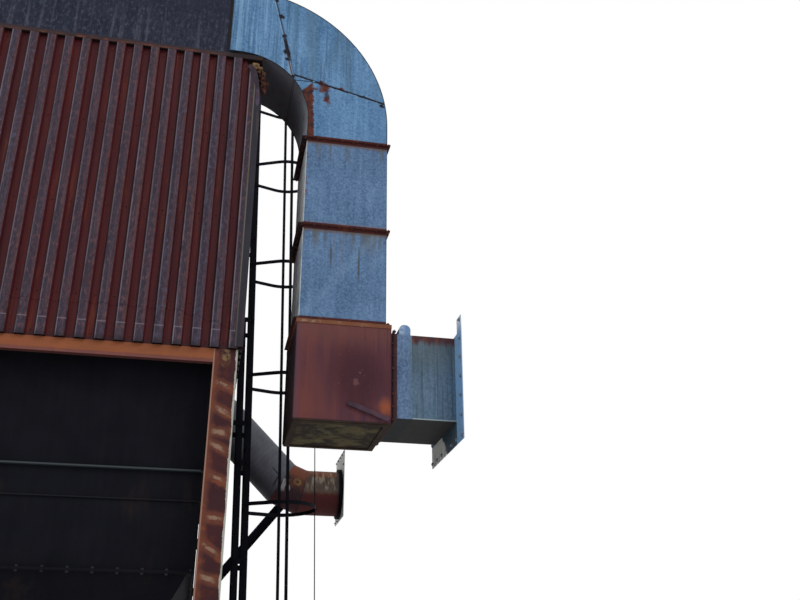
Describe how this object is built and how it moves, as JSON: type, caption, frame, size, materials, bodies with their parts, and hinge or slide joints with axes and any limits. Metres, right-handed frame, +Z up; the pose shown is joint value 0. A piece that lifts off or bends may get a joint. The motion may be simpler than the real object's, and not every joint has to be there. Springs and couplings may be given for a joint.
{
  "type": "baghouse dust collector",
  "caption": "Ribbed baghouse on steel columns with hoppers, square outlet duct, round inlet duct and a caged ladder to the roof.",
  "frame": {"origin": "on the ground under the centre of the outline", "axes": "+Z up, +X from the casing towards the wall, +Y from the outlet end towards the inlet end"},
  "size_m": [3.97, 6.275, 8.2431],
  "materials": {
    "casing_plate": "rusty mill plate",
    "cladding": "weathered dark red-brown sheet",
    "dark_steel": "black paint, dulled",
    "frame_paint": "rusting red-brown paint",
    "galvanised": "weathered galvanised sheet",
    "gasket": "dark sealing strip",
    "plenum_paint": "dark blue-grey paint, dulled",
    "rusty_steel": "rusted plate"
  },
  "bodies": {
    "root": {"base_plates": "frame_paint", "box_bar": "rusty_steel", "box_floor": "rusty_steel", "cage_hoops": "dark_steel", "cage_straps": "dark_steel", "cap_angles": "frame_paint", "casing_deck": "casing_plate", "casing_end_walls": "casing_plate", "casing_side_walls": "casing_plate", "columns": "frame_paint", "corner_trims": "cladding", "cross_beams": "frame_paint", "damper_spool": "galvanised", "duct_flanges": "frame_paint", "front_cladding": "cladding", "front_hopper": "casing_plate", "front_hopper_body": "casing_plate", "hopper_outlets": "casing_plate", "inlet_bracket": "rusty_steel", "inlet_collar": "dark_steel", "inlet_elbow": "rusty_steel", "inlet_leg": "rusty_steel", "inlet_run": "rusty_steel", "inlet_wall_plate": "galvanised", "joint_gaskets": "gasket", "junction_box": "rusty_steel", "knee_braces": "frame_paint", "ladder_brackets": "dark_steel", "ladder_posts": "dark_steel", "ladder_rails": "dark_steel", "ladder_rungs": "dark_steel", "lower_duct": "galvanised", "outlet_elbow": "galvanised", "plenum_angles": "frame_paint", "plenum_end_walls": "plenum_paint", "plenum_roof": "plenum_paint", "plenum_side_walls": "plenum_paint", "rear_cladding": "cladding", "rear_hopper": "casing_plate", "rear_hopper_body": "casing_plate", "roof_lids": "plenum_paint", "side_beams": "frame_paint", "side_cladding": "cladding", "skirt_sheets": "cladding", "upper_duct": "galvanised", "wall_duct": "galvanised", "wall_plate": "galvanised"}
  },
  "joints": []
}
